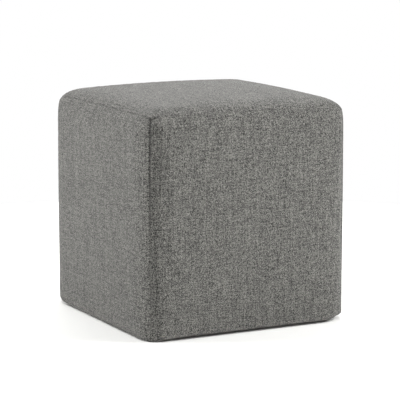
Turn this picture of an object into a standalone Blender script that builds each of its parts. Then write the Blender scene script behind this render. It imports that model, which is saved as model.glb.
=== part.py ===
"""Cube pouf stool: five padded cloth panels sewn edge to edge over a flat black underside.

Metres, +Z up. The origin is on the floor under the middle of the stool, and the front is at -Y.
Each panel is one solid, the cloth with the padding that fills it out. Its outer face carries the
crown or bulge, the rolled edges and the drawn-in seams, and its rim is mitred to its neighbours.
"""

import math

import bmesh
import bpy
from mathutils import Vector

# Driving sizes
CUBE_WIDTH = 0.398  # across two opposite faces, measured at their edges
BODY_TOP = 0.3935  # floor to the edge level of the top panel, under its crown
BODY_BOTTOM = 0.0055  # floor to the turned-under hems of the side panels
TOP_CROWN = 0.0125  # rise of the top panel's middle over its edge level
SIDE_BULGE = 0.0045  # swell of a side panel's middle
SWELL_POWER = 2.2  # 2 is a parabola, more is flatter in the middle
EDGE_ROLL = 0.060  # how far from a seam's corner the padded edges start to round over
ROLL_POWER = 3.0  # 2 rounds them to a quarter circle, more keeps them flatter up to the seam
CORNER_CRISPNESS = 0.5  # 0 is a ball at each top corner, 1 is two rolls mitred together
HEM_ROLL = 0.003  # radius where a side panel turns under
PADDING = 0.040  # cloth and padding together, from the flat face inwards
SEAM_SINK = 0.0008  # depth of the drawn-in seam line
SEAM_REACH = 0.007  # how far from the seam the cloth starts to draw in
PIECE_GAP = 0.0003  # clear space between two pieces that touch
UNDERSIDE_INSET = 0.020  # how far the black underside stands back from the faces
UNDERSIDE_CORNER = 0.038  # radius of its corners in plan
UNDERSIDE_EASE = 0.0008  # its softened edges

# Finishes: linear red, green and blue, and roughness
CLOTH_GREY = (0.205, 0.202, 0.191)
CLOTH_ROUGHNESS = 0.95
UNDERSIDE_BLACK = (0.012, 0.012, 0.013)
UNDERSIDE_ROUGHNESS = 0.90

# Rows of the mesh
FIELD_CELLS = 10  # over the flat part of a panel
ROLL_STEPS = (0.30, 0.50, 0.66, 0.80, 0.91, 1.0)  # over a rolled edge, closer at the seam
HEM_CELLS = 3
CORNER_CELLS = 6

# Worked out from the driving sizes
HALF_WIDTH = CUBE_WIDTH / 2
ROLL_START = HALF_WIDTH - EDGE_ROLL
SEAM_TURN = math.radians(45)
SEAM_INSET = EDGE_ROLL * (1 - 0.5 ** (1 / ROLL_POWER))
SEAM_HALF = HALF_WIDTH - SEAM_INSET
SEAM_TRIM = PIECE_GAP / math.sqrt(2)
INNER_HALF = HALF_WIDTH - PADDING - SEAM_TRIM
UNDERSIDE_THICK = BODY_BOTTOM - PIECE_GAP
SHARP_ANGLE = math.radians(40)

# Name and quarter turns about +Z from the front
SIDE_PANELS = (
    ("side_panel_front", 0),
    ("side_panel_right", 1),
    ("side_panel_back", 2),
    ("side_panel_left", 3),
)


def clear_scene():
    for item in list(bpy.data.objects):
        bpy.data.objects.remove(item, do_unlink=True)


def plain_material(name, colour, roughness):
    """A Principled material with one colour, given as linear red, green and blue."""
    material = bpy.data.materials.new(name)
    material.use_nodes = True
    shader = material.node_tree.nodes["Principled BSDF"]
    shader.inputs["Base Color"].default_value = (*colour, 1.0)
    shader.inputs["Roughness"].default_value = roughness
    shader.inputs["Metallic"].default_value = 0.0
    material.diffuse_color = (*colour, 1.0)
    return material


# A station is one row of a panel's mesh: where the row's centre line stands, how far it has
# turned over a seam's rolled edge, and how far it has turned under at the hem.
def field_stations(low, high):
    step = (high - low) / FIELD_CELLS
    return [(low + step * cell, 0.0, 0.0) for cell in range(FIELD_CELLS + 1)]


def seam_stations(start, turn):
    return [(start, turn * part, 0.0) for part in ROLL_STEPS]


def hem_stations(start):
    quarter = math.pi / 2
    return [(start, 0.0, quarter * cell / HEM_CELLS) for cell in range(1, HEM_CELLS + 1)]


def sink_at(turn):
    """How strongly a seam draws the cloth in, from 0 away from it to 1 on it."""
    distance = (SEAM_TURN - abs(turn)) * EDGE_ROLL
    return max(0.0, 1 - distance / SEAM_REACH) ** 2


def swell_at(offset, half):
    return 1 - min(1.0, abs(offset) / half) ** SWELL_POWER


def rolled(*parts):
    """These parts, scaled onto the rounded edge's curve."""
    size = sum(abs(part) ** ROLL_POWER for part in parts) ** (1 / ROLL_POWER)
    return [part / size for part in parts]


def lean_at(x_turn, y_turn):
    """Out to the cloth where two rolled edges meet, between a ball and a mitred box."""
    ball = Vector(rolled(math.tan(x_turn), math.tan(y_turn), 1.0))
    x_side, x_flat = rolled(math.tan(x_turn), 1.0)
    y_side, y_flat = rolled(math.tan(y_turn), 1.0)
    mitre = Vector((x_side, y_side, min(x_flat, y_flat)))
    return ball.lerp(mitre, CORNER_CRISPNESS)


def outer_point(across, along, flat_level, middle, half_length, swell):
    """Where two rows cross, in the panel's frame: x across, y along and z outwards."""
    x_start, x_turn, _ = across
    y_start, y_turn, hem_turn = along
    lean = lean_at(x_turn, y_turn)
    drawn_in = 1 - (1 - sink_at(x_turn)) * (1 - sink_at(y_turn))
    reach = EDGE_ROLL - HEM_ROLL * (1 - math.cos(hem_turn)) - SEAM_SINK * drawn_in
    point = Vector((x_start, y_start, flat_level - EDGE_ROLL)) + lean * reach
    point.y -= HEM_ROLL * math.sin(hem_turn)
    point.z += swell * swell_at(point.x, SEAM_HALF) * swell_at(point.y - middle, half_length)
    point.x -= SEAM_TRIM * x_turn / SEAM_TURN
    point.y -= SEAM_TRIM * y_turn / SEAM_TURN
    return point


def panel_mesh(name, along_rows, flat_level, middle, half_length, swell, inner_low, inner_high):
    """A padded panel: its shaped outer face, its mitred rim and its flat inner face."""
    across_rows = seam_stations(-ROLL_START, -SEAM_TURN)[::-1]
    across_rows += field_stations(-ROLL_START, ROLL_START)
    across_rows += seam_stations(ROLL_START, SEAM_TURN)
    columns = len(across_rows) - 1
    rows = len(along_rows) - 1
    shape = bmesh.new()
    bmesh.ops.create_grid(shape, x_segments=columns, y_segments=rows, size=1.0)
    for vertex in shape.verts:
        across = across_rows[round((vertex.co.x + 1) / 2 * columns)]
        along = along_rows[round((vertex.co.y + 1) / 2 * rows)]
        vertex.co = outer_point(across, along, flat_level, middle, half_length, swell)

    border = [edge for edge in shape.edges if edge.is_boundary]
    low = min(vertex.co.y for edge in border for vertex in edge.verts)
    high = max(vertex.co.y for edge in border for vertex in edge.verts)
    wide = max(vertex.co.x for edge in border for vertex in edge.verts)
    rim = bmesh.ops.extrude_edge_only(shape, edges=border)["geom"]
    inner_verts = [item for item in rim if isinstance(item, bmesh.types.BMVert)]
    for vertex in inner_verts:
        part = (vertex.co.y - low) / (high - low)
        vertex.co.x *= INNER_HALF / wide
        vertex.co.y = inner_low + (inner_high - inner_low) * part
        vertex.co.z = flat_level - PADDING
    inner_edges = [edge for edge in shape.edges if edge.is_boundary]
    bmesh.ops.contextual_create(shape, geom=inner_edges)
    bmesh.ops.recalc_face_normals(shape, faces=shape.faces)

    mesh = bpy.data.meshes.new(name)
    shape.to_mesh(mesh)
    shape.free()
    mesh.shade_smooth()
    mesh.set_sharp_from_angle(angle=SHARP_ANGLE)
    return mesh


def side_panel_mesh():
    """A side panel in its own frame: y is the height over the floor."""
    hem_start = BODY_BOTTOM + HEM_ROLL
    roll_start = BODY_TOP - EDGE_ROLL
    rows = hem_stations(hem_start)[::-1]
    rows += field_stations(hem_start, roll_start)
    rows += seam_stations(roll_start, SEAM_TURN)
    top_seam = BODY_TOP - SEAM_INSET
    middle = (BODY_BOTTOM + top_seam) / 2
    half_length = (top_seam - BODY_BOTTOM) / 2
    inner_high = BODY_TOP - PADDING - SEAM_TRIM
    return panel_mesh(
        "side_panel", rows, HALF_WIDTH, middle, half_length, SIDE_BULGE, BODY_BOTTOM, inner_high
    )


def top_panel_mesh():
    """The top panel in its own frame: z is the height over its edge level."""
    rows = seam_stations(-ROLL_START, -SEAM_TURN)[::-1]
    rows += field_stations(-ROLL_START, ROLL_START)
    rows += seam_stations(ROLL_START, SEAM_TURN)
    return panel_mesh("top_panel", rows, 0.0, 0.0, SEAM_HALF, TOP_CROWN, -INNER_HALF, INNER_HALF)


def underside_mesh():
    """The flat board under the stool, with rounded corners and softened edges."""
    width = CUBE_WIDTH - 2 * UNDERSIDE_INSET
    shape = bmesh.new()
    bmesh.ops.create_cube(shape, size=1.0)
    bmesh.ops.scale(shape, vec=(width, width, UNDERSIDE_THICK), verts=shape.verts)
    bmesh.ops.translate(shape, vec=(0, 0, UNDERSIDE_THICK / 2), verts=shape.verts)
    uprights = [edge for edge in shape.edges if edge.verts[0].co.xy == edge.verts[1].co.xy]
    bmesh.ops.bevel(
        shape, geom=uprights, offset=UNDERSIDE_CORNER, segments=CORNER_CELLS, profile=0.5,
        affect="EDGES",
    )
    rims = [edge for edge in shape.edges if edge.verts[0].co.z == edge.verts[1].co.z]
    bmesh.ops.bevel(shape, geom=rims, offset=UNDERSIDE_EASE, segments=1, affect="EDGES")
    bmesh.ops.recalc_face_normals(shape, faces=shape.faces)
    mesh = bpy.data.meshes.new("underside")
    shape.to_mesh(mesh)
    shape.free()
    mesh.shade_smooth()
    mesh.set_sharp_from_angle(angle=SHARP_ANGLE)
    return mesh


def add_piece(name, mesh, material, parent):
    piece = bpy.data.objects.new(name, mesh)
    bpy.context.scene.collection.objects.link(piece)
    piece.parent = parent
    if not mesh.materials:
        mesh.materials.append(material)
    return piece


def build_stool():
    stool = bpy.data.objects.new("stool", None)
    bpy.context.scene.collection.objects.link(stool)

    grey_cloth = plain_material("grey_melange_cloth", CLOTH_GREY, CLOTH_ROUGHNESS)
    side_mesh = side_panel_mesh()
    for name, quarter_turns in SIDE_PANELS:
        panel = add_piece(name, side_mesh, grey_cloth, stool)
        panel.rotation_euler = (math.pi / 2, 0.0, quarter_turns * math.pi / 2)
    top = add_piece("top_panel", top_panel_mesh(), grey_cloth, stool)
    top.location.z = BODY_TOP

    black_cloth = plain_material("black_underside_cloth", UNDERSIDE_BLACK, UNDERSIDE_ROUGHNESS)
    add_piece("underside_panel", underside_mesh(), black_cloth, stool)


clear_scene()
build_stool()
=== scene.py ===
"""Cube pouf stool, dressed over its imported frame: padded cloth panels, sewn edge to edge over a
flat black underside. Metres, +Z up, origin on the floor under the middle, front at -Y."""

import math

import bmesh
import bpy
import numpy as np
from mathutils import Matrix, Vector


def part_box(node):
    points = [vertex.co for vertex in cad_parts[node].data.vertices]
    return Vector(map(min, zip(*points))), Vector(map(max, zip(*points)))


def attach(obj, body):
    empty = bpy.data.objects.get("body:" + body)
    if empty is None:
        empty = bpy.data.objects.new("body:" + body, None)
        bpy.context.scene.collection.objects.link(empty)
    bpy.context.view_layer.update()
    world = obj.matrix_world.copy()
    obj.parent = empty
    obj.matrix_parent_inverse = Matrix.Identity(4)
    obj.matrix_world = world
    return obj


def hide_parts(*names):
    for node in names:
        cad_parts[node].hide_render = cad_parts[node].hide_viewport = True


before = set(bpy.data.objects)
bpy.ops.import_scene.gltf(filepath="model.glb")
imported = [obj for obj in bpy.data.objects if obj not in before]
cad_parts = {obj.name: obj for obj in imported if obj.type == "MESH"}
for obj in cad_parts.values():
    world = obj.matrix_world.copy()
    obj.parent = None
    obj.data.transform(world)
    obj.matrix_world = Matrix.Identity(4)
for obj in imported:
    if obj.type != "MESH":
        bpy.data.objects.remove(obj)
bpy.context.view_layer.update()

# ---------------------------------------------------------------------------------------------
# Black underside. A flat base board in black non-woven dust cover, set back from the cloth all
# round, so the stool shows a thin black line over the floor. It is pressed up against the
# turned-under hems and lies flat on the floor.
# ---------------------------------------------------------------------------------------------
UNDERSIDE_CORNER = 0.038  # radius of its corners in plan
UNDERSIDE_CORNER_CUTS = 12
UNDERSIDE_EASE = 0.0009  # its softened edges
UNDERSIDE_EASE_CUTS = 3
UNDERSIDE_SHARP = math.radians(40)  # edges that turn more than this stay crisp
LEVEL = 1e-6  # an edge that rises less than this lies flat


def linear(colour):
    """An sRGB hex colour as linear red, green, blue and alpha."""
    parts = [int(colour[at : at + 2], 16) / 255 for at in (1, 3, 5)]
    parts = [part / 12.92 if part <= 0.04045 else ((part + 0.055) / 1.055) ** 2.4
             for part in parts]
    return (*parts, 1.0)


def new_material(name):
    """An empty material with its Principled shader and its tree."""
    material = bpy.data.materials.new(name)
    material.use_nodes = True
    tree = material.node_tree
    return material, tree, tree.nodes["Principled BSDF"]


def add_node(tree, kind, inputs=None, **settings):
    """Adds one node. Each input is a number or colour, or the socket that feeds it."""
    node = tree.nodes.new(kind)
    for name, value in settings.items():
        setattr(node, name, value)
    for name, value in (inputs or {}).items():
        if isinstance(value, bpy.types.NodeSocket):
            tree.links.new(value, node.inputs[name])
        else:
            node.inputs[name].default_value = value
    return node


def select_in(piece, wanted):
    """In edit mode, selects just the edges for which wanted(edge) is true."""
    shape = bmesh.from_edit_mesh(piece.data)
    for part in (*shape.verts, *shape.faces):
        part.select = False
    for edge in shape.edges:
        edge.select = False
    for edge in shape.edges:
        if wanted(edge):
            edge.select = True
    bmesh.update_edit_mesh(piece.data)


def edit(piece):
    """Makes the piece the only one selected and opens it in edit mode, on its edges."""
    if bpy.context.object and bpy.context.object.mode != "OBJECT":
        bpy.ops.object.mode_set(mode="OBJECT")
    bpy.ops.object.select_all(action="DESELECT")
    piece.select_set(True)
    bpy.context.view_layer.objects.active = piece
    bpy.ops.object.mode_set(mode="EDIT")
    bpy.ops.mesh.select_mode(type="EDGE")


def rise_of(edge):
    """How much higher one end of an edge is than the other."""
    return abs(edge.verts[0].co.z - edge.verts[1].co.z)


under_low, under_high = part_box("underside_panel")
bpy.ops.object.select_all(action="DESELECT")
bpy.ops.mesh.primitive_cube_add(
    size=1.0, location=(under_low + under_high) / 2, scale=under_high - under_low
)
underside = bpy.context.object
underside.name = "black_underside"
bpy.ops.object.transform_apply(location=True, rotation=True, scale=True)
edit(underside)
select_in(underside, lambda edge: rise_of(edge) > LEVEL)
bpy.ops.mesh.bevel(offset=UNDERSIDE_CORNER, segments=UNDERSIDE_CORNER_CUTS, profile=0.5)
select_in(underside, lambda edge: rise_of(edge) < LEVEL)
bpy.ops.mesh.bevel(offset=UNDERSIDE_EASE, segments=UNDERSIDE_EASE_CUTS, profile=0.5)
bpy.ops.object.mode_set(mode="OBJECT")
bpy.ops.object.shade_smooth_by_angle(angle=UNDERSIDE_SHARP)

# Spun-bonded polypropylene felt: matt black, with short pale fibres and the fine grid of pressed
# dots that holds it together. The dots are 1.3 mm apart in the real felt and 2 mm here, so that
# they show.
UNDERSIDE_BLACK = "#1B1B1C"
UNDERSIDE_LINT = "#2E2E2F"
LINT_SCALE = 900.0  # clumps of fibre 1.1 mm across
LINT_SHOWS = (0.45, 0.75)  # where in the noise the pale fibres begin, and are all there is
DOT_SPACING = 0.002
DOT_RIM = (0.1, 0.4)  # where a dot's rim begins and ends, in spacings from its middle
DOT_DEPTH = 0.0002
black_felt, tree, shader = new_material("black_nonwoven_polypropylene")
place = add_node(tree, "ShaderNodeTexCoord").outputs["Object"]
lint = add_node(
    tree, "ShaderNodeTexNoise", {"Vector": place, "Scale": LINT_SCALE, "Detail": 3.0}
)
lint_tone = add_node(tree, "ShaderNodeValToRGB", {"Fac": lint.outputs["Fac"]})
for stop, position, colour in zip(
    lint_tone.color_ramp.elements, LINT_SHOWS, (UNDERSIDE_BLACK, UNDERSIDE_LINT)
):
    stop.position, stop.color = position, linear(colour)
dots = add_node(
    tree, "ShaderNodeTexVoronoi", {"Vector": place, "Scale": 1 / DOT_SPACING, "Randomness": 0.0}
)
dents = add_node(
    tree, "ShaderNodeMapRange",
    {"Value": dots.outputs["Distance"], "From Min": DOT_RIM[0], "From Max": DOT_RIM[1]},
    interpolation_type="SMOOTHSTEP",
)
relief = add_node(
    tree, "ShaderNodeBump",
    {"Height": dents.outputs["Result"], "Strength": 0.5, "Distance": DOT_DEPTH},
)
tree.links.new(lint_tone.outputs["Color"], shader.inputs["Base Color"])
tree.links.new(relief.outputs["Normal"], shader.inputs["Normal"])
shader.inputs["Roughness"].default_value = 0.92
shader.inputs["IOR"].default_value = 1.49
shader.inputs["Specular IOR Level"].default_value = 0.25
underside.data.materials.append(black_felt)
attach(underside, "root")
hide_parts("underside_panel")

# ---------------------------------------------------------------------------------------------
# Cover. Five squares of grey melange upholstery cloth, four sides and a top, each over its own
# layer of wadding. The sides are sewn to each other down the corners and to the top all round,
# and turned under at the foot. The sewing draws the cloth in, and the wadding swells between.
# ---------------------------------------------------------------------------------------------
HALF_WIDTH = 0.199  # middle of the stool to a side's flat level
BODY_TOP = 0.3935  # floor to the top panel's edge level, under its crown
BODY_BOTTOM = 0.0055  # floor to the turned-under hems
EDGE_ROLL = 0.060  # how far from a seam's corner the padded edges start to round over
ROLL_POWER = 3.0  # 2 rounds them to a quarter circle, more keeps them flatter up to the seam
HEM_ROLL = 0.002  # radius where a side panel turns under
PADDING = 0.040  # cloth and wadding together
PIECE_GAP = 0.0003  # clear space between two panels at their seam
INNER_GAP = 0.00003  # and behind it, where they all but meet, so that no light shows through
SIDE_SWELL = 0.0045  # of a side panel's middle, once it is stuffed
TOP_SWELL = 0.0125  # of the top panel's middle
UNSTUFFED = 0.6  # share of that swell in the cloth before the wadding pushes
SWELL_POWER = 2.2  # 2 is a parabola, more is flatter in the middle
SEAM_TURN = math.radians(45)
ROLL_LENGTH = EDGE_ROLL * SEAM_TURN
HEM_LENGTH = HEM_ROLL * math.pi / 2
ROLL_START = HALF_WIDTH - EDGE_ROLL
SEAM_REACH = ROLL_START + ROLL_LENGTH  # cloth from a panel's middle to its seam
SEAM_INSET = EDGE_ROLL * (1 - 0.5 ** (1 / ROLL_POWER))
SEAM_HALF = HALF_WIDTH - SEAM_INSET
SEAM_TRIM = PIECE_GAP / math.sqrt(2)
INNER_TRIM = INNER_GAP / math.sqrt(2)
INNER_HALF = HALF_WIDTH - PADDING - INNER_TRIM
PANEL_SHARP = math.radians(60)  # edges that turn more than this stay crisp
# Rows of the grid of cloth: this far apart over the flat part of a panel, at these distances from
# a seam, and at these parts of the way round a turned-under hem
FIELD_CELL = 0.005
SEAM_ROWS = (0.0, 0.0008, 0.0017, 0.0030, 0.0046, 0.0068, 0.0098, 0.0136, 0.0180, 0.0230, 0.0285,
             0.0345, 0.0405)
HEM_ROWS = (1.0, 0.75, 0.5, 0.25)


def rows_along(low, high, hem):
    """Rows of the grid as distances along the cloth, closer and closer up to each seam."""
    seam_rows = [ROLL_LENGTH - step for step in reversed(SEAM_ROWS)]
    field = list(np.linspace(low, high, round((high - low) / FIELD_CELL) + 1))
    if hem:
        before = [low - HEM_LENGTH * part for part in HEM_ROWS]
    else:
        before = [low - step for step in reversed(seam_rows)]
    return np.array(before + field + [high + step for step in seam_rows])


def rolled(*parts):
    """These parts, scaled onto the rounded edge's curve."""
    size = sum(np.abs(part) ** ROLL_POWER for part in parts) ** (1 / ROLL_POWER)
    return [part / size for part in parts]


def lean_of(x_turn, y_turn):
    """Out to the cloth: halfway between a ball and a mitred box where two rolled edges meet."""
    straight = np.ones_like(x_turn)
    ball = np.stack(rolled(np.tan(x_turn), np.tan(y_turn), straight), axis=-1)
    x_side, x_flat = rolled(np.tan(x_turn), straight)
    y_side, y_flat = rolled(np.tan(y_turn), straight)
    mitre = np.stack([x_side, y_side, np.minimum(x_flat, y_flat)], axis=-1)
    return (ball + mitre) / 2


def laid(across, along, cut, stuffed):
    """Cloth laid over the padding, in the panel's own frame: x across, y along and z outwards.
    Returns its points, and the way the cloth faces at each."""
    x_flat = np.clip(across, -ROLL_START, ROLL_START)
    y_flat = np.clip(along, cut["low"], cut["high"])
    x_turn = (across - x_flat) / EDGE_ROLL
    y_turn = (along - y_flat) / EDGE_ROLL
    hem_turn = np.zeros_like(y_turn)
    if cut["hem"]:
        hem_turn = np.maximum(y_flat - along, 0) / HEM_ROLL
        y_turn = np.maximum(y_turn, 0)
    lean = lean_of(x_turn, y_turn)
    reach = EDGE_ROLL - HEM_ROLL * (1 - np.cos(hem_turn))
    point = np.stack([x_flat, y_flat, np.full_like(x_flat, cut["level"] - EDGE_ROLL)], axis=-1)
    point = point + lean * reach[:, None]
    point[:, 1] -= HEM_ROLL * np.sin(hem_turn)
    swell = 1 - np.minimum(1, np.abs(point[:, 0]) / SEAM_HALF) ** SWELL_POWER
    swell *= 1 - np.minimum(1, np.abs(point[:, 1] - cut["middle"]) / cut["half"]) ** SWELL_POWER
    point[:, 2] += cut["swell"] * stuffed * swell
    point[:, 0] -= SEAM_TRIM * x_turn / SEAM_TURN
    point[:, 1] -= SEAM_TRIM * y_turn / SEAM_TURN
    return point, lean


def values_of(mesh, label):
    values = np.empty(len(mesh.vertices))
    mesh.attributes[label].data.foreach_get("value", values)
    return values


def set_values(mesh, label, values):
    if label not in mesh.attributes:
        mesh.attributes.new(label, "FLOAT", "POINT")
    mesh.attributes[label].data.foreach_set("value", values)


def points_of(mesh):
    points = np.empty(len(mesh.vertices) * 3)
    mesh.vertices.foreach_get("co", points)
    return points.reshape(-1, 3)


def close_behind(panel):
    """Fills the flat back of a panel with one face, and turns all its faces outwards."""
    edit(panel)
    select_in(panel, lambda edge: edge.is_boundary)
    bpy.ops.mesh.edge_face_add()
    bpy.ops.mesh.select_all(action="SELECT")
    bpy.ops.mesh.normals_make_consistent(inside=False)
    bpy.ops.object.mode_set(mode="OBJECT")


def open_behind(panel):
    """Takes the one face of the flat back away again, so that the rest can be subdivided."""
    edit(panel)
    bpy.ops.mesh.select_mode(type="FACE")
    shape = bmesh.from_edit_mesh(panel.data)
    for face in shape.faces:
        face.select = len(face.verts) > 4
    bmesh.update_edit_mesh(panel.data)
    bpy.ops.mesh.delete(type="ONLY_FACE")
    bpy.ops.object.mode_set(mode="OBJECT")


def cut_panel(name, cut):
    """Lays a grid of cloth over the padding and closes it behind along the mitred rim."""
    across_rows = rows_along(-ROLL_START, ROLL_START, False)
    along_rows = rows_along(cut["low"], cut["high"], cut["hem"])
    columns, rows = len(across_rows) - 1, len(along_rows) - 1
    bpy.ops.object.select_all(action="DESELECT")
    bpy.ops.mesh.primitive_grid_add(x_subdivisions=columns, y_subdivisions=rows, size=2)
    panel = bpy.context.object
    panel.name = name
    mesh = panel.data
    flat = points_of(mesh)
    across = across_rows[np.rint((flat[:, 0] + 1) / 2 * columns).astype(int)]
    along = along_rows[np.rint((flat[:, 1] + 1) / 2 * rows).astype(int)]
    point, _ = laid(across, along, cut, UNSTUFFED)
    mesh.vertices.foreach_set("co", point.ravel())
    set_values(mesh, "across", across)
    set_values(mesh, "along", along)
    set_values(mesh, "skin", np.ones(len(flat)))
    corners = np.empty(len(mesh.loops), int)
    mesh.loops.foreach_get("vertex_index", corners)
    mesh.uv_layers[0].name = "cloth"
    uv = np.stack([across[corners], along[corners]], axis=-1)
    mesh.uv_layers[0].data.foreach_set("uv", uv.ravel())

    edit(panel)
    select_in(panel, lambda edge: edge.is_boundary)
    bpy.ops.mesh.extrude_edges_move()
    shape = bmesh.from_edit_mesh(mesh)
    skin = shape.verts.layers.float["skin"]
    lowest, height = point[:, 1].min(), np.ptp(point[:, 1])
    for corner in shape.verts:
        if corner.select:
            corner[skin] = 0.0
            part = (corner.co.y - lowest) / height
            corner.co.x *= INNER_HALF / point[:, 0].max()
            corner.co.y = cut["inner_low"] + (cut["inner_high"] - cut["inner_low"]) * part
            corner.co.z = cut["level"] - PADDING
    bmesh.update_edit_mesh(mesh)
    close_behind(panel)
    return panel


side_top_seam = BODY_TOP - SEAM_INSET
side_cut = {
    "level": HALF_WIDTH,
    "low": BODY_BOTTOM + HEM_ROLL,
    "high": BODY_TOP - EDGE_ROLL,
    "hem": True,
    "middle": (BODY_BOTTOM + side_top_seam) / 2,
    "half": (side_top_seam - BODY_BOTTOM) / 2,
    "swell": SIDE_SWELL,
    "inner_low": BODY_BOTTOM,
    "inner_high": BODY_TOP - PADDING - INNER_TRIM,
}
top_cut = {
    "level": 0.0,
    "low": -ROLL_START,
    "high": ROLL_START,
    "hem": False,
    "middle": 0.0,
    "half": SEAM_HALF,
    "swell": TOP_SWELL,
    "inner_low": -INNER_HALF,
    "inner_high": INNER_HALF,
}

# The stool's foot corners: how far the hem hangs down there, in metres, and the radius to which
# the cloth is gathered under the foot
NEAR_LEFT, NEAR_RIGHT = (0.0050, 0.0015), (-0.0013, 0.0085)
FAR_RIGHT, FAR_LEFT = (-0.0010, 0.0080), (-0.0035, 0.0085)

# The sides, each a quarter turn about +Z on from the last: its left and right corner, how far its
# hem hangs down between them, and how tight its top seam is, where 1 is as tight as where the near
# top corner is pinched
SIDES = {
    "front": {"left": NEAR_LEFT, "right": NEAR_RIGHT, "hem_down": 0.0, "top_tight": 0.12},
    "right": {"left": NEAR_RIGHT, "right": FAR_RIGHT, "hem_down": 0.0, "top_tight": 0.25},
    "back": {"left": FAR_RIGHT, "right": FAR_LEFT, "hem_down": 0.0005, "top_tight": 0.30},
    "left": {"left": FAR_LEFT, "right": NEAR_LEFT, "hem_down": 0.0008, "top_tight": 0.45},
}
# Where on the bolt of cloth the sides and the top are cut from, in metres
SIDES_FROM_BOLT = ((0.0, 0.0), (0.61, 0.07), (1.27, 0.03), (1.93, 0.11))
TOP_FROM_BOLT = (0.33, 1.17)

pattern_piece = cut_panel("front_side_panel", side_cut)
panels = []
for quarter_turns, (side, own_sewing) in enumerate(SIDES.items()):
    piece = pattern_piece
    if quarter_turns:
        piece = pattern_piece.copy()
        piece.data = pattern_piece.data.copy()
        piece.name = f"{side}_side_panel"
        bpy.context.scene.collection.objects.link(piece)
    panels.append({"piece": piece, "node": f"side_panel_{side}", "cut": {**side_cut, **own_sewing},
                   "turns": quarter_turns, "bolt": SIDES_FROM_BOLT[quarter_turns]})
panels.append({"piece": cut_panel("top_panel_cloth", top_cut), "node": "top_panel",
               "cut": top_cut, "turns": None, "bolt": TOP_FROM_BOLT})

# The wadding is stuffed in by simulation: the seams, hem and rim hold, pressure fills the panel
# from inside, and the cloth is a little fuller than its seams, so it puckers along them.
PRESSURE = 4.0
STUFFING_FRAMES = 20
SLACK = 0.006  # how much fuller the cloth is than the seams that hold it
HELD = 0.003  # cloth this near a seam is held by it
FREE = 0.022  # and this far from one it is free
UNEVEN = 0.00006  # hand-laid wadding, without which the puckers come out all alike
FIRST_SEED = 20
PUCKER_LIMIT = 0.0007  # how far a pucker may stand off the panel's smooth swell
PUCKER_SHARE = 0.45  # share of its height that is kept
SMOOTH_OVER = 0.013  # cloth over which that swell is evened out


def eased(part):
    """From 0 to 1, with a soft start and end."""
    part = np.clip(part, 0, 1)
    return part * part * (3 - 2 * part)


def hold_edges(panel, cut):
    """Marks how firmly each point is held: by the sewing, the hem and the mitred rim."""
    mesh = panel.data
    across, along, skin = (values_of(mesh, label) for label in ("across", "along", "skin"))
    foot = cut["low"] - (HEM_LENGTH if cut["hem"] else ROLL_LENGTH)
    from_edge = np.minimum(SEAM_REACH - np.abs(across), cut["high"] + ROLL_LENGTH - along)
    from_edge = np.minimum(from_edge, along - foot)
    held = np.where(skin < 0.5, 1.0, 1 - eased((from_edge - HELD) / (FREE - HELD)))
    group = panel.vertex_groups.new(name="held")
    for index, weight in enumerate(held):
        group.add([index], float(weight), "REPLACE")


def spread(rows):
    """Weights that smooth a value over neighbouring rows, whatever their spacing."""
    near = np.exp(-(((rows[:, None] - rows[None, :]) / SMOOTH_OVER) ** 2) / 2)
    near *= np.gradient(rows)[None, :]
    return near / near.sum(axis=1, keepdims=True)


def puckers_of(panel, cut, before):
    """What the simulation leaves beyond an even swell, which is capped."""
    mesh = panel.data
    across, along, skin = (values_of(mesh, label) for label in ("across", "along", "skin"))
    _, lean = laid(across, along, cut, UNSTUFFED)
    moved = np.sum((points_of(mesh) - before) * lean, axis=1)
    across_rows = rows_along(-ROLL_START, ROLL_START, False)
    along_rows = rows_along(cut["low"], cut["high"], cut["hem"])
    grid = moved[skin > 0.5].reshape(len(along_rows), len(across_rows))
    even = spread(along_rows) @ grid @ spread(across_rows).T
    relief = np.zeros(len(moved))
    relief[skin > 0.5] = np.clip((grid - even) * PUCKER_SHARE, -PUCKER_LIMIT, PUCKER_LIMIT).ravel()
    return relief


for panel in panels:
    panel["before"] = points_of(panel["piece"].data)
for number, panel in enumerate(panels):
    piece = panel["piece"]
    hold_edges(piece, panel["cut"])
    draws = np.random.default_rng(FIRST_SEED + number)
    uneven = draws.normal(0, UNEVEN, panel["before"].shape)
    uneven *= values_of(piece.data, "skin")[:, None]
    piece.data.vertices.foreach_set("co", (panel["before"] + uneven).ravel())
    stuffing = piece.modifiers.new("stuffing", "CLOTH")
    stuffing.settings.quality = 4
    stuffing.settings.mass = 0.15
    stuffing.settings.air_damping = 10
    stuffing.settings.shrink_min = -SLACK
    stuffing.settings.use_pressure = True
    stuffing.settings.uniform_pressure_force = PRESSURE
    stuffing.settings.vertex_group_mass = "held"
    stuffing.settings.effector_weights.gravity = 0
    stuffing.point_cache.frame_start = 1
    stuffing.point_cache.frame_end = STUFFING_FRAMES
for frame_number in range(1, STUFFING_FRAMES + 1):
    bpy.context.scene.frame_set(frame_number)
for panel in panels:
    bpy.context.view_layer.objects.active = panel["piece"]
    bpy.ops.object.modifier_apply(modifier="stuffing")
for panel in panels:
    piece = panel["piece"]
    set_values(piece.data, "pucker", puckers_of(piece, panel["cut"], panel["before"]))
    piece.vertex_groups.clear()

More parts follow.
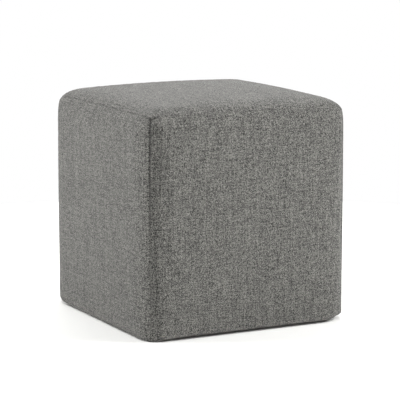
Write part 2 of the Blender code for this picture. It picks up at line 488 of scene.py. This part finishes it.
# Sewing. A seam draws the cloth down over a few millimetres and turns its edge in, and a fine line
# of painted shade darkens the cloth along it. Down the corners it is firmest at the top and
# slackens towards the foot. The top seam is firmest at the near corner, where it pulls a small pit,
# also darkened with painted shade. The seam allowance is folded to one side, and lifts the cloth
# there.
DRAWN_IN = 0.0005  # depth of the drawn-in cloth
DRAWN_OVER = 0.007  # how far from the seam it starts
TURNED_IN = 0.0011  # depth of the turned-in edge
TURNED_OVER = 0.0009  # its width on each side of the seam
SLACK_SEAM = 0.35  # share of both that is left in a corner seam, low down
SLACK_BELOW = 0.09  # height up to which it is that slack
SLACK_RISE = 0.17  # and how far above that height it is tight
SLACK_AWAY = 0.5  # share of a seam's tightness that is left far from its firm end
FIRM_OVER = 0.16  # and the length over which it falls to that
PINCHED_OVER = 0.013  # how far from the near top corner the top seams are pinched tight
PIT = 0.0018  # depth of the pit there
PIT_REACH = 0.0045
WELT = 0.0007  # how far the folded seam allowance lifts the cloth over it
WELT_AT = 0.0085  # where it lifts it most, from the seam
WELT_OVER = 0.0045
ENDS_CLEAR = 0.020  # how far from a top seam the folded allowance and the painted valley shade set in
LINE_OVER = 0.0009  # half the width of the painted shade line in a seam
LINE = 0.62  # how dark that painted shade is, where 1 is as dark as in the pit
PIT_LINE_OVER = 0.0017  # half its width in the pit
VALLEY_PAINTED_SHADE = 0.17  # and how dark the soft band of painted shade is beside a corner seam
VALLEY_PAINTED_SHADE_OVER = (0.020, 0.013)  # where that painted shade begins, and from where it is even
STITCH_PUCKER = 0.00005  # small puckers that the thread pulls
STITCH_PUCKER_EVERY = 0.0085
STITCH_PUCKER_REACH = 0.006
# Slower waves that throw them out of step: strength, length in puckers, and share of the seed
STITCH_WAVES = ((1.7, 3.3, 1), (1.1, 7.1, 2))
END_SEAM_SEED = 2.5
SETTLED = 0.0015  # how far the back left top corner has sunk
SETTLED_OVER = 0.07
HANG_OVER = 0.021  # how far from a corner the hem hangs lower or higher
HANG_UP_TO = 0.030  # and how high above the hem that shows
GATHERED_OVER = 0.016  # how far from a corner the cloth is gathered under the foot
NEVER_ZERO = 1e-6  # keeps a radius that is divided by above 0


def drawn(distance):
    return np.maximum(0, 1 - distance / DRAWN_OVER) ** 2


def turned(distance):
    return np.exp(-((distance / TURNED_OVER) ** 2))


def wander(along_seam, seed):
    """A slow, uneven wave along a seam, from -1 to 1."""
    beat = 2 * math.pi * along_seam / STITCH_PUCKER_EVERY
    uneven_beat = beat
    for strength, length, share in STITCH_WAVES:
        uneven_beat = uneven_beat + strength * np.sin(beat / length + share * seed)
    return np.sin(uneven_beat)


def from_seams(across, along, cut, firm, pinched):
    """Each point's distance to the nearer side seam and end seam, and how tight each is sewn."""
    from_side = SEAM_REACH - np.abs(across)
    firmness = SLACK_AWAY + (1 - SLACK_AWAY) * firm
    if cut["hem"]:
        from_top = cut["high"] + ROLL_LENGTH - along
        side_tight = SLACK_SEAM + (1 - SLACK_SEAM) * eased((along - SLACK_BELOW) / SLACK_RISE)
        side_tight *= SLACK_AWAY + (1 - SLACK_AWAY) * np.exp(-((from_top / FIRM_OVER) ** 2))
        return from_side, from_top, side_tight, np.maximum(cut["top_tight"], pinched) * firmness
    front, right, back, left = (sewing["top_tight"] for sewing in SIDES.values())
    side_tight = np.maximum(np.where(across < 0, left, right), pinched)
    end_tight = np.maximum(np.where(along < 0, front, back), pinched)
    return from_side, SEAM_REACH - np.abs(along), side_tight * firmness, end_tight * firmness


def sewn_depth(across, along, cut, firm, pinched):
    """How far the sewing pulls each point of the cloth in."""
    from_side, from_end, side_tight, end_tight = from_seams(across, along, cut, firm, pinched)
    depth = np.zeros_like(across)
    for pull, amount in ((drawn, DRAWN_IN), (turned, TURNED_IN)):
        side, end = pull(from_side) * side_tight, pull(from_end) * end_tight
        depth += amount * (1 - (1 - side) * (1 - end))
    near_side = np.exp(-from_side / STITCH_PUCKER_REACH)
    near_end = np.exp(-from_end / STITCH_PUCKER_REACH)
    depth += STITCH_PUCKER * near_side * (1 - near_end) * wander(along, np.sign(across))
    depth += STITCH_PUCKER * near_end * (1 - near_side) * wander(across, END_SEAM_SEED)
    depth += PIT * firm * np.exp(-(from_side**2 + from_end**2) / PIT_REACH**2)
    if cut["hem"]:
        welt = np.exp(-(((from_side - WELT_AT) / WELT_OVER) ** 2)) * (across > 0) * side_tight
        depth -= WELT * welt * (1 - np.exp(-((from_end / ENDS_CLEAR) ** 2)))
    return depth


def painted_seam_shade(across, along, cut, firm, pinched):
    """Painted shade along the seams: 0 clear of them, up to 1 where the pit is, with a softer band
    of it beside each corner seam.
    """
    from_side, from_end, side_tight, end_tight = from_seams(across, along, cut, firm, pinched)
    line = LINE * np.maximum(np.exp(-((from_side / LINE_OVER) ** 2)) * side_tight,
                             np.exp(-((from_end / LINE_OVER) ** 2)) * end_tight)
    line = np.maximum(line, pinched * np.exp(-((from_end / PIT_LINE_OVER) ** 2)))
    if cut["hem"]:
        begins, even = VALLEY_PAINTED_SHADE_OVER
        # a soft band of painted shade on one side of each corner seam
        painted_valley_shade = VALLEY_PAINTED_SHADE * eased((begins - from_side) / (begins - even)) * (across < 0)
        line = np.maximum(line, painted_valley_shade * eased(from_end / ENDS_CLEAR))
    return line


def hung(points, lean, across, along, cut):
    """Lets the hem hang, lower or higher at the corners, and gathers the cloth under there."""
    height = np.maximum(along - cut["low"], 0) + HEM_ROLL * (along > cut["low"])
    rises = np.exp(-height / HANG_UP_TO)
    between = np.ones_like(across)
    for corner, from_corner in ((cut["left"], SEAM_REACH + across),
                                (cut["right"], SEAM_REACH - across)):
        down, radius = corner
        at_corner = np.exp(-((from_corner / HANG_OVER) ** 2))
        between -= at_corner
        points[:, 1] -= down * at_corner * rises
        radius = radius * np.exp(-((from_corner / GATHERED_OVER) ** 2)) + NEVER_ZERO
        under = np.clip(1 - height / radius, 0, 1)
        points -= lean * (radius * (1 - np.sqrt(1 - under**2)))[:, None]
    points[:, 1] -= cut["hem_down"] * between * rises
    return points


def placed(points, turns):
    """From a panel's own frame to its place on the stool."""
    if turns is None:
        return points + np.array([0.0, 0.0, BODY_TOP])
    turn = turns * math.pi / 2
    x, y, z = points.T
    return np.stack([x * math.cos(turn) + z * math.sin(turn),
                     x * math.sin(turn) - z * math.cos(turn), y], axis=-1)


def near_to(points, corner, over):
    """How near each point is to a corner, from 1 at it to 0 well beyond the given length."""
    return np.exp(-np.sum(((points - np.array(corner)) / over) ** 2, axis=1))


NEAR_TOP_CORNER = (-SEAM_HALF, -SEAM_HALF, BODY_TOP - SEAM_INSET)
BACK_LEFT_TOP_CORNER = (-HALF_WIDTH, HALF_WIDTH, BODY_TOP)
ON_CLOTH = 0.99  # skin is 1 on the cloth, 0 on its back, and a half at the points added between
for panel in panels:
    piece, cut = panel["piece"], panel["cut"]
    open_behind(piece)
    finer = piece.modifiers.new("finer", "SUBSURF")
    finer.levels = finer.render_levels = 1
    finer.uv_smooth = "NONE"
    bpy.ops.object.modifier_apply(modifier="finer")
    close_behind(piece)
    mesh = piece.data
    across, along, skin, pucker = (
        values_of(mesh, label) for label in ("across", "along", "skin", "pucker")
    )
    face, lean = laid(across, along, cut, 1.0)
    firm = near_to(placed(face, panel["turns"]), NEAR_TOP_CORNER, FIRM_OVER)
    pinched = near_to(placed(face, panel["turns"]), NEAR_TOP_CORNER, PINCHED_OVER)
    face += lean * (pucker - sewn_depth(across, along, cut, firm, pinched))[:, None]
    if cut["hem"]:
        face = hung(face, lean, across, along, cut)
    points = placed(np.where(skin[:, None] > ON_CLOTH, face, points_of(mesh)), panel["turns"])
    points[:, 2] -= SETTLED * near_to(points, BACK_LEFT_TOP_CORNER, SETTLED_OVER)
    # the painted shade along the seams, which the cloth's colour reads
    set_values(mesh, "seam", painted_seam_shade(across, along, cut, firm, pinched))
    corners = np.empty(len(mesh.loops), int)
    mesh.loops.foreach_get("vertex_index", corners)
    uv = np.stack([across[corners], along[corners]], axis=-1) + np.array(panel["bolt"])
    mesh.uv_layers["cloth"].data.foreach_set("uv", uv.ravel())
    mesh.vertices.foreach_set("co", points.ravel())
    mesh.update()
    bpy.ops.object.shade_smooth_by_angle(angle=PANEL_SHARP)

# Linen-look polyester, woven plain from melange yarn: dull and crisp, every crossing of the yarns a
# little lighter or darker than the next, with faint streaks where a yarn runs light or dark for a
# few centimetres. The real yarns are about 0.7 mm apart. Here they are 1.0 and 0.95 mm apart, so
# that they show.
WARP_SPACING = 0.0010
WEFT_SPACING = 0.00095
WARP_STREAK = 0.045  # length of a streak along the upright yarns
WEFT_STREAK = 0.030  # and along the crossing ones
WARP_FLECK = 2.0  # length of a fleck along the upright yarns, in crossings
WEFT_FLECK = 1.6  # and along the crossing ones
FLECK_SHIFT = 0.618  # how far a yarn's flecks are moved on from its neighbour's, in crossings
YARN_WANDER = 0.0003  # how far the yarns stray from straight
WANDER_SCALE = 60.0  # in bends about 17 mm long
DRIFT_SCALE = 22.0  # the whole cloth's shade drifts over about 45 mm
YARN_APART = 3.713  # steps through the noise from yarn to yarn, so that each has its own streaks
WARP_SLICE, WEFT_SLICE = 1.7, 8.3  # the parts of the noise that they are read from
DARK_FIBRE = "#2C2C2A"
MID_FIBRE = "#5B5A58"
LIGHT_FIBRE = "#878681"
# How far each of these swings the tone, where 1 is all the way from the dark to the light fibre
FLECK_CONTRAST = 1.28
WARP_STREAKS = 0.90
WEFT_STREAKS = 0.80
SLOW_DRIFT = 0.05
BETWEEN_YARNS = 0.55  # painted shade down between the yarns, where 1 is the average colour
ON_YARNS = 1.26  # and painted light on top of them
SEAM_SHADE = 0.85  # how much darker the painted shade makes the cloth down in a seam
FLECK_RISE = 0.7  # how much higher a light fleck stands than a dark one, in heights of a yarn
YARN_RELIEF = 0.0003  # height of a yarn
BETWEEN_ROUGHNESS, CROWN_ROUGHNESS = 1.0, 0.86  # down between the yarns and on top of them

grey_melange, tree, shader = new_material("grey_melange_linen_look_polyester")
uv = add_node(tree, "ShaderNodeUVMap", uv_map="cloth").outputs["UV"]
wander_noise = add_node(
    tree, "ShaderNodeTexNoise", {"Vector": uv, "Scale": WANDER_SCALE, "Detail": 1.0}
)
wander_by = add_node(
    tree, "ShaderNodeVectorMath",
    {0: wander_noise.outputs["Color"], 1: (YARN_WANDER,) * 3, 2: (-YARN_WANDER / 2,) * 3},
    operation="MULTIPLY_ADD",
)
on_cloth = add_node(
    tree, "ShaderNodeVectorMath", {0: uv, 1: wander_by.outputs["Vector"]}, operation="ADD"
).outputs["Vector"]
yarns = add_node(
    tree, "ShaderNodeVectorMath",
    {0: on_cloth, 1: (1 / WARP_SPACING, 1 / WEFT_SPACING, 1.0)}, operation="MULTIPLY",
).outputs["Vector"]
crossing = add_node(
    tree, "ShaderNodeVectorMath", {0: yarns}, operation="FLOOR"
).outputs["Vector"]
within = add_node(
    tree, "ShaderNodeVectorMath", {0: yarns}, operation="FRACTION"
).outputs["Vector"]
crossing_xy = add_node(tree, "ShaderNodeSeparateXYZ", {0: crossing})
within_xy = add_node(tree, "ShaderNodeSeparateXYZ", {0: within})

# Flecks: every few crossings a yarn changes its shade. The upright yarn shows at every other
# crossing, and the yarn that crosses it at the rest.
fleck_tones = []
for of_yarn, along_yarn, length in (("X", "Y", WARP_FLECK), ("Y", "X", WEFT_FLECK)):
    shifted = add_node(
        tree, "ShaderNodeMath",
        {0: crossing_xy.outputs[of_yarn], 1: FLECK_SHIFT, 2: crossing_xy.outputs[along_yarn]},
        operation="MULTIPLY_ADD",
    )
    stretch = add_node(
        tree, "ShaderNodeMath", {0: shifted.outputs["Value"], 1: length}, operation="DIVIDE"
    )
    number = add_node(tree, "ShaderNodeMath", {0: stretch.outputs["Value"]}, operation="FLOOR")
    spot = add_node(
        tree, "ShaderNodeCombineXYZ",
        {"X": crossing_xy.outputs[of_yarn], "Y": number.outputs["Value"], "Z": length},
    )
    fleck_tones.append(add_node(
        tree, "ShaderNodeTexWhiteNoise", {"Vector": spot.outputs["Vector"]}, noise_dimensions="3D"
    ).outputs["Value"])
both = add_node(
    tree, "ShaderNodeMath",
    {0: crossing_xy.outputs["X"], 1: crossing_xy.outputs["Y"]}, operation="ADD",
)
weft_on_top = add_node(
    tree, "ShaderNodeMath", {0: both.outputs["Value"], 1: 2.0}, operation="FLOORED_MODULO"
).outputs["Value"]
fleck = add_node(
    tree, "ShaderNodeMix", {"Factor": weft_on_top, "A": fleck_tones[0], "B": fleck_tones[1]}
).outputs["Result"]

# Streaks: each yarn's own tone, which drifts along its length
along_yarns = add_node(
    tree, "ShaderNodeVectorMath",
    {0: on_cloth, 1: (1 / WEFT_STREAK, 1 / WARP_STREAK, 1.0)}, operation="MULTIPLY",
)
streak_xy = add_node(tree, "ShaderNodeSeparateXYZ", {0: along_yarns.outputs["Vector"]})
streak_tones = []
for of_yarn, along_yarn, noise_slice in (("X", "Y", WARP_SLICE), ("Y", "X", WEFT_SLICE)):
    own_part = add_node(
        tree, "ShaderNodeMath", {0: crossing_xy.outputs[of_yarn], 1: YARN_APART},
        operation="MULTIPLY",
    )
    streak_place = add_node(
        tree, "ShaderNodeCombineXYZ",
        {of_yarn: own_part.outputs["Value"], along_yarn: streak_xy.outputs[along_yarn],
         "Z": noise_slice},
    )
    streak_tones.append(add_node(
        tree, "ShaderNodeTexNoise",
        {"Vector": streak_place.outputs["Vector"], "Scale": 1.0, "Detail": 1.0},
    ).outputs["Fac"])
slow_tone = add_node(
    tree, "ShaderNodeTexNoise", {"Vector": uv, "Scale": DRIFT_SCALE, "Detail": 2.0}
).outputs["Fac"]

# The tone at a crossing, 0.5 on average, adds up from all of these
warp_tone, weft_tone = streak_tones
tone = 0.5 * (1 - FLECK_CONTRAST - WARP_STREAKS - WEFT_STREAKS - SLOW_DRIFT)
for part, share in ((fleck, FLECK_CONTRAST), (warp_tone, WARP_STREAKS),
                    (weft_tone, WEFT_STREAKS), (slow_tone, SLOW_DRIFT)):
    tone = add_node(
        tree, "ShaderNodeMath", {0: part, 1: share, 2: tone}, operation="MULTIPLY_ADD"
    ).outputs["Value"]
fibres = add_node(tree, "ShaderNodeValToRGB", {"Fac": tone})
darkest, lightest = fibres.color_ramp.elements
darkest.position, darkest.color = 0.0, linear(DARK_FIBRE)
lightest.position, lightest.color = 1.0, linear(LIGHT_FIBRE)
fibres.color_ramp.elements.new(0.5).color = linear(MID_FIBRE)

# The yarns are round, and at each crossing the one on top hides the other. Light doesn't reach
# down between them, so painted shade darkens the colour there and painted light brightens their
# crowns.
crowns = []
for across_yarn in ("X", "Y"):
    half_turn = add_node(
        tree, "ShaderNodeMath", {0: within_xy.outputs[across_yarn], 1: math.pi},
        operation="MULTIPLY",
    )
    crowns.append(add_node(
        tree, "ShaderNodeMath", {0: half_turn.outputs["Value"]}, operation="SINE"
    ).outputs["Value"])
crown = add_node(
    tree, "ShaderNodeMix", {"Factor": weft_on_top, "A": crowns[0], "B": crowns[1]}
).outputs["Result"]
# painted shade between the yarns and painted light on their crowns
lit = add_node(
    tree, "ShaderNodeMapRange", {"Value": crown, "To Min": BETWEEN_YARNS, "To Max": ON_YARNS}
)

# Painted shade: down in a seam, in the pit and beside the corner seams, the cloth's colour is
# darkened where shade falls
painted_seam_shade_amount = add_node(tree, "ShaderNodeAttribute", attribute_name="seam").outputs["Fac"]
shaded = add_node(
    tree, "ShaderNodeMapRange", {"Value": painted_seam_shade_amount, "To Min": 1.0, "To Max": 1 - SEAM_SHADE}
)
lightness = add_node(
    tree, "ShaderNodeMath", {0: shaded.outputs["Result"], 1: lit.outputs["Result"]},
    operation="MULTIPLY",
)
cloth_colour = add_node(
    tree, "ShaderNodeVectorMath",
    {0: fibres.outputs["Color"], "Scale": lightness.outputs["Value"]}, operation="SCALE",
)

# Relief: the lighter flecks are loosely spun and stand a little higher
height = add_node(
    tree, "ShaderNodeMath", {0: fleck, 1: FLECK_RISE, 2: crown}, operation="MULTIPLY_ADD"
)
weave_relief = add_node(
    tree, "ShaderNodeBump",
    {"Height": height.outputs["Value"], "Strength": 0.5, "Distance": YARN_RELIEF},
)
dullness = add_node(
    tree, "ShaderNodeMapRange",
    {"Value": crown, "To Min": BETWEEN_ROUGHNESS, "To Max": CROWN_ROUGHNESS},
)
tree.links.new(cloth_colour.outputs["Vector"], shader.inputs["Base Color"])
tree.links.new(weave_relief.outputs["Normal"], shader.inputs["Normal"])
tree.links.new(dullness.outputs["Result"], shader.inputs["Roughness"])
shader.inputs["IOR"].default_value = 1.5
shader.inputs["Specular IOR Level"].default_value = 0.2
shader.inputs["Sheen Weight"].default_value = 0.12
shader.inputs["Sheen Roughness"].default_value = 0.5

for panel in panels:
    piece = panel["piece"]
    piece.data.materials.clear()
    piece.data.materials.append(grey_melange)
    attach(piece, "root")
    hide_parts(panel["node"])

# ---------------------------------------------------------------------------------------------
# Studio. A plain pale paper floor in a white surround. Soft lights stand at both sides, in front,
# behind for the seat and, broad and weak, overhead. The two at the sides are the strongest, so the
# corner that faces the camera is the darkest.
# ---------------------------------------------------------------------------------------------
FLOOR_PALE = "#FCFCFA"
FLOOR_GLOW = 0.018  # light that shines back through the paper from under it
FLOOR_RADIUS = 1.2
SURROUND = (1.0, 1.0, 1.0, 1.0)
WHITE_UP_TO, BLACK_FROM = 0.02, 0.12  # it fades out between, by how steeply one looks up
bpy.ops.object.select_all(action="DESELECT")
bpy.ops.mesh.primitive_circle_add(vertices=64, radius=FLOOR_RADIUS, fill_type="NGON")
floor = bpy.context.object
floor.name = "studio_floor"
pale_floor, tree, shader = new_material("pale_matt_paper")
shader.inputs["Base Color"].default_value = linear(FLOOR_PALE)
shader.inputs["Roughness"].default_value = 0.95
shader.inputs["Specular IOR Level"].default_value = 0.0
shader.inputs["Emission Color"].default_value = linear(FLOOR_PALE)
shader.inputs["Emission Strength"].default_value = FLOOR_GLOW
floor.data.materials.append(pale_floor)

LIGHTS = (
    # name, place, target, width, height, watts
    ("overhead_light", (0.0, 0.0, 2.4), (0.0, 0.0, 0.2), 3.2, 3.2, 22.7),
    ("back_light", (0.73, 1.43, 2.1), (0.0, 0.0, 0.2), 1.6, 1.6, 35.7),
    ("left_light", (-1.90, 1.10, 1.5), (0.0, 0.0, 0.3), 1.2, 1.0, 50.4),
    ("right_light", (1.90, -1.10, 1.5), (0.0, 0.0, 0.3), 1.2, 1.0, 62.0),
    ("front_light", (-1.31, -2.47, 1.9), (0.0, 0.0, 0.2), 1.2, 1.0, 43.0),
)
for name, place, target, width, height, watts in LIGHTS:
    light = bpy.data.lights.new(name, "AREA")
    light.shape = "RECTANGLE"
    light.size, light.size_y = width, height
    light.energy = watts
    lamp = bpy.data.objects.new(name, light)
    lamp.location = place
    away = Vector(place) - Vector(target)
    lamp.rotation_euler = away.to_track_quat("Z", "Y").to_euler()
    bpy.context.scene.collection.objects.link(lamp)

world = bpy.data.worlds.new("studio_surround")
bpy.context.scene.world = world
world.use_nodes = True
sky = world.node_tree
direction = add_node(sky, "ShaderNodeTexCoord").outputs["Generated"]
rise = add_node(sky, "ShaderNodeSeparateXYZ", {0: direction}).outputs["Z"]
below = add_node(
    sky, "ShaderNodeMapRange",
    {"Value": rise, "From Min": BLACK_FROM, "From Max": WHITE_UP_TO},
).outputs["Result"]
sky.links.new(below, sky.nodes["Background"].inputs["Strength"])
sky.nodes["Background"].inputs["Color"].default_value = SURROUND
bpy.context.scene.view_settings.view_transform = "Standard"

CAMERA_PLACE = (-1.6694, -3.2253, 0.8172)
CAMERA_DOWN = math.radians(9.637)
CAMERA_YAW = math.radians(-27.421)
FOCAL_LENGTH = 185.61  # in millimetres, as is the width of the picture behind it
PICTURE_WIDTH = 36.0
lens = bpy.data.cameras.new("camera")
lens.sensor_width, lens.lens = PICTURE_WIDTH, FOCAL_LENGTH
lens.clip_start, lens.clip_end = 0.1, 100.0
camera = bpy.data.objects.new("camera", lens)
camera.location = CAMERA_PLACE
camera.rotation_euler = (math.pi / 2 - CAMERA_DOWN, 0.0, CAMERA_YAW)
bpy.context.scene.collection.objects.link(camera)
bpy.context.scene.camera = camera
